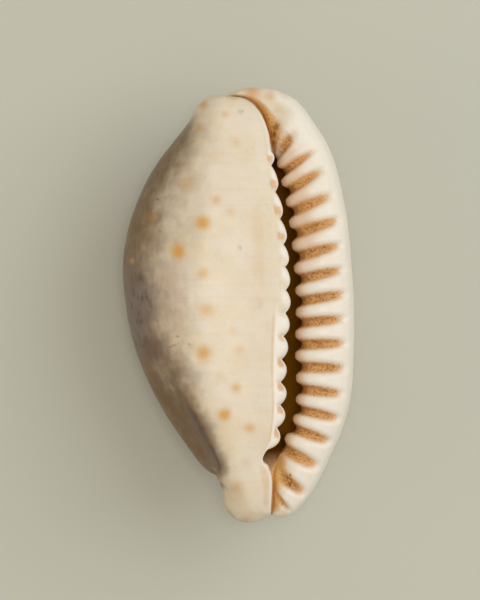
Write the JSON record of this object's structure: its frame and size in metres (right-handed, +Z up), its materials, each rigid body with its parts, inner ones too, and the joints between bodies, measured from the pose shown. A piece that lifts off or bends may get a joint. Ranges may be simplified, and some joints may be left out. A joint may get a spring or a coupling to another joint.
{
  "type": "cowrie shell",
  "caption": "Thick pear-shaped cowrie shell lying on its back, with a long slit aperture lined by ridged teeth on both lips and a hollow inside.",
  "frame": {"origin": "on the surface the shell lies on, below the middle of its outline", "axes": "+Z up out of the aperture, +Y along the shell to its posterior end, +X to the outer lip"},
  "size_m": [0.0242, 0.045, 0.0194],
  "materials": {
    "shell": "worn satin-gloss natural shell, cream with faint orange spots and brown-stained grooves"
  },
  "bodies": {
    "root": {"shell": "shell"}
  },
  "joints": []
}
